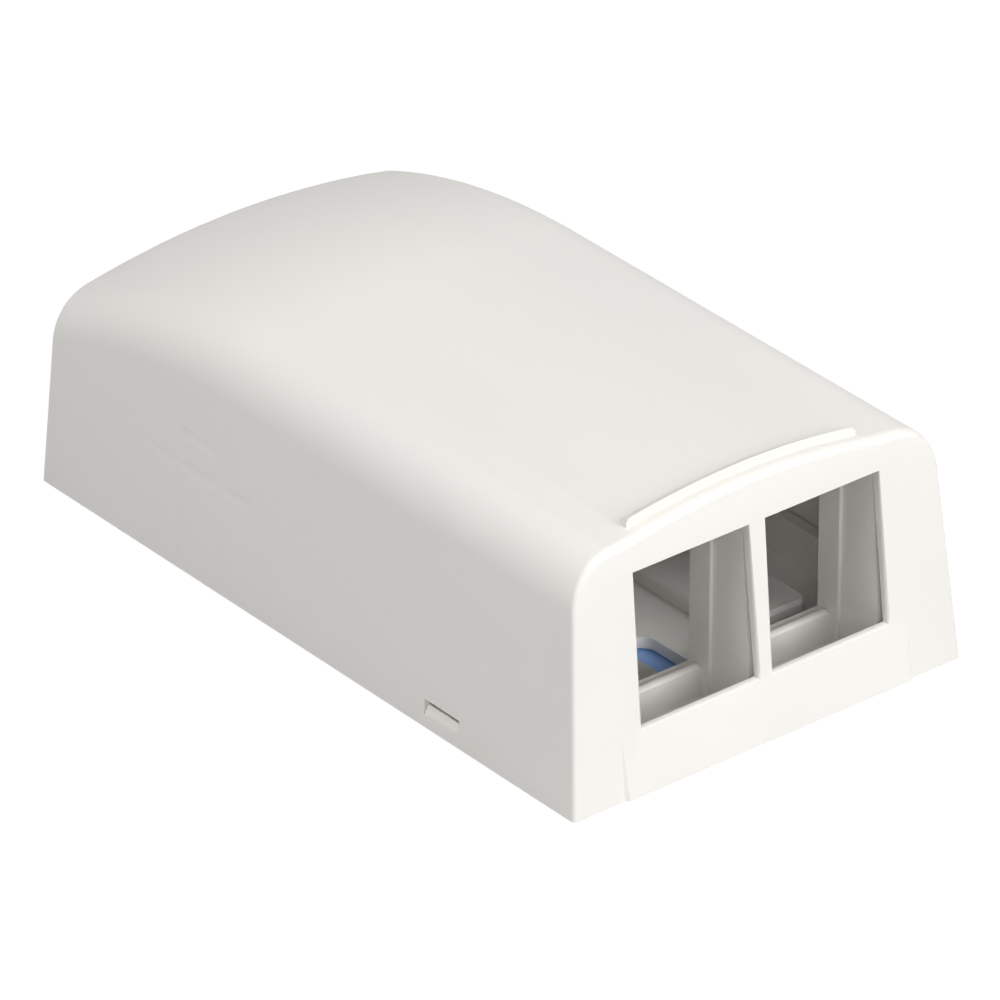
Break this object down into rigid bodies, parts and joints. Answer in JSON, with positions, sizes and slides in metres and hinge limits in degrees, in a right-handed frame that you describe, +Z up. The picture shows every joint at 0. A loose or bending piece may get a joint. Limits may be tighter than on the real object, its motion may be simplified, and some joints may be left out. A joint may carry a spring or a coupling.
{
  "type": "surface mount jack box",
  "caption": "Surface mount jack box: a domed clip-on cover with square ports in its sloping front, over a shallow base with foam strips and a release liner.",
  "frame": {"origin": "on the surface that the liner lies on, under the middle of the cover's outline", "axes": "+X to the right as seen from the ports' side, +Y from the ports' face towards the back wall, +Z up, away from the mounting surface"},
  "size_m": [0.05, 0.0867, 0.0301],
  "materials": {
    "moulding": "semi-matt warm off-white moulded ABS",
    "foam": "matt grey foam tape",
    "liner": "smooth blue release film"
  },
  "bodies": {
    "base": {"base": "moulding", "foam_strip_left": "foam", "foam_strip_right": "foam", "release_liner": "liner"},
    "cover": {"cover": "moulding"}
  },
  "joints": [
    {"name": "cover_lift", "type": "slide", "parent": "base", "child": "cover", "axis": [0, 0, 1], "range_m": [0, 0.035]}
  ]
}
